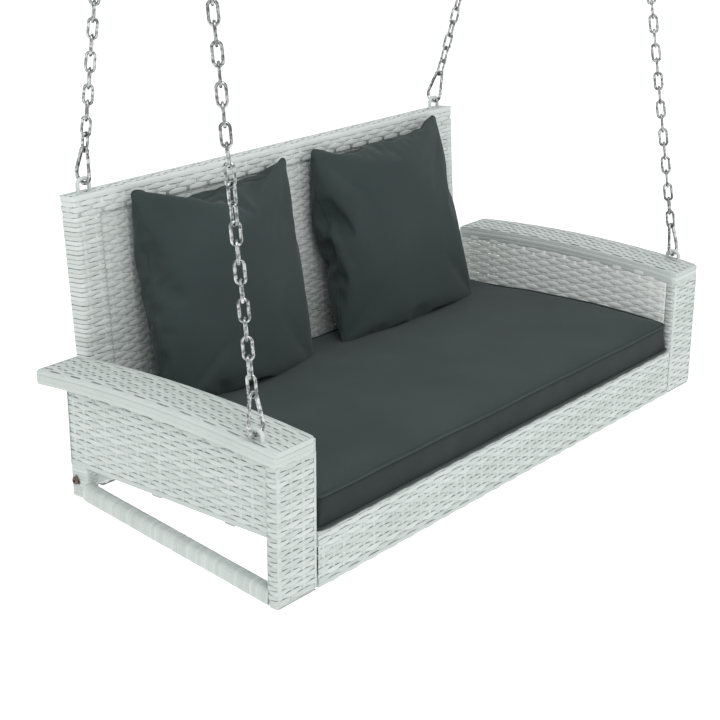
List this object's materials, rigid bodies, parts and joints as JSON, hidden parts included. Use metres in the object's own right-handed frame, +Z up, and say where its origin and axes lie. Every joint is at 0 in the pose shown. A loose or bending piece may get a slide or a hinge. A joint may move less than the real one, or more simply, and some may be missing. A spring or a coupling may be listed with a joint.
{
  "type": "porch swing seat",
  "caption": "Two-seat hanging porch swing: woven resin cane over a steel frame, seat cushion, two pillows, four chains with snap hooks to two ceiling hooks",
  "frame": {"origin": "In the ceiling's plane, midway between the shanks of the two ceiling hooks", "axes": "+X to the sitter's left, +Y from the open front to the backrest, +Z up"},
  "size_m": [1.2854, 0.5839, 1.8598],
  "materials": {
    "painted_steel": "satin",
    "cane_white": "satin",
    "deck_cane": "matte",
    "zinc_steel": "satin",
    "bolt_bronze": "satin",
    "cushion_fabric": "matte"
  },
  "bodies": {
    "ceiling": {"ceiling_hook_left": "zinc_steel", "ceiling_hook_right": "zinc_steel"},
    "swing": {"top_rings": "zinc_steel", "arm_eyes": "painted_steel", "back_eyes": "painted_steel", "arm_tubes": "painted_steel", "post_tubes": "painted_steel", "arm_ties": "painted_steel", "post_wraps": "cane_white", "lower_rail_tubes": "painted_steel", "lower_rail_wraps": "cane_white", "rear_post_tubes": "painted_steel", "rear_post_wraps": "cane_white", "panel_bottom_tubes": "painted_steel", "arm_struts": "painted_steel", "seat_front_tubes": "painted_steel", "apron_struts": "painted_steel", "seat_back_tube": "painted_steel", "seat_side_tubes": "painted_steel", "seat_cross_bars": "painted_steel", "front_apron_wrap": "cane_white", "seat_deck": "deck_cane", "tube_plugs": "zinc_steel", "frame_bolts": "zinc_steel", "arm_nuts": "zinc_steel", "rear_bolts": "bolt_bronze", "rear_washers": "zinc_steel", "back_side_tubes": "painted_steel", "back_cross_tubes": "painted_steel", "back_struts": "painted_steel", "backrest_side_wraps": "cane_white", "backrest_top_wrap": "cane_white", "backrest_bottom_wrap": "cane_white", "backrest_front_weave": "cane_white", "backrest_rear_weave": "cane_white", "back_brackets": "painted_steel", "arm_cap_wrap_left": "cane_white", "outer_panel_left": "cane_white", "inner_panel_left": "cane_white", "arm_cap_wrap_right": "cane_white", "outer_panel_right": "cane_white", "inner_panel_right": "cane_white", "chain_front_left": "zinc_steel", "snap_hook_front_left": "zinc_steel", "chain_front_right": "zinc_steel", "snap_hook_front_right": "zinc_steel", "chain_back_left": "zinc_steel", "snap_hook_back_left": "zinc_steel", "chain_back_right": "zinc_steel", "snap_hook_back_right": "zinc_steel", "snap_hook_pins": "zinc_steel"},
    "gate_front_left": {"snap_gate_front_left": "zinc_steel"},
    "gate_front_right": {"snap_gate_front_right": "zinc_steel"},
    "gate_back_left": {"snap_gate_back_left": "zinc_steel"},
    "gate_back_right": {"snap_gate_back_right": "zinc_steel"},
    "seat_cushion_body": {"seat_cushion": "cushion_fabric"},
    "pillow_left_body": {"pillow_left": "cushion_fabric", "pillow_zip_pull_left": "zinc_steel"},
    "pillow_right_body": {"pillow_right": "cushion_fabric", "pillow_zip_pull_right": "zinc_steel"}
  },
  "joints": [
    {"name": "swing_hinge", "type": "hinge", "parent": "ceiling", "child": "swing", "pos_m": [0, 0, -0.074], "axis": [1, 0, 0], "range_deg": [-25, 25]},
    {"name": "gate_front_left_hinge", "type": "hinge", "parent": "swing", "child": "gate_front_left", "pos_m": [-0.63026, -0.21326, -1.49905], "axis": [0, -0.9887, 0.1497], "range_deg": [0, 22], "stiffness_Nm_per_rad": 0.1, "springref_deg": -11.46},
    {"name": "gate_front_right_hinge", "type": "hinge", "parent": "swing", "child": "gate_front_right", "pos_m": [0.6139, -0.21336, -1.49973], "axis": [0, -0.9887, 0.1497], "range_deg": [0, 22], "stiffness_Nm_per_rad": 0.1, "springref_deg": -11.46},
    {"name": "gate_back_left_hinge", "type": "hinge", "parent": "swing", "child": "gate_back_left", "pos_m": [-0.48872, 0.27434, -1.22989], "axis": [0.9979, 0, 0.0642], "range_deg": [0, 22], "stiffness_Nm_per_rad": 0.1, "springref_deg": -11.46},
    {"name": "gate_back_right_hinge", "type": "hinge", "parent": "swing", "child": "gate_back_right", "pos_m": [0.48872, 0.27434, -1.22989], "axis": [0.9979, 0, -0.0642], "range_deg": [0, 22], "stiffness_Nm_per_rad": 0.1, "springref_deg": -11.46},
    {"name": "seat_cushion_lift", "type": "slide", "parent": "swing", "child": "seat_cushion_body", "axis": [0, 0, 1], "range_m": [0, 0.2]},
    {"name": "pillow_left_lift", "type": "slide", "parent": "seat_cushion_body", "child": "pillow_left_body", "axis": [0, 0, 1], "range_m": [0, 0.15]},
    {"name": "pillow_right_lift", "type": "slide", "parent": "seat_cushion_body", "child": "pillow_right_body", "axis": [0, 0, 1], "range_m": [0, 0.15]}
  ]
}
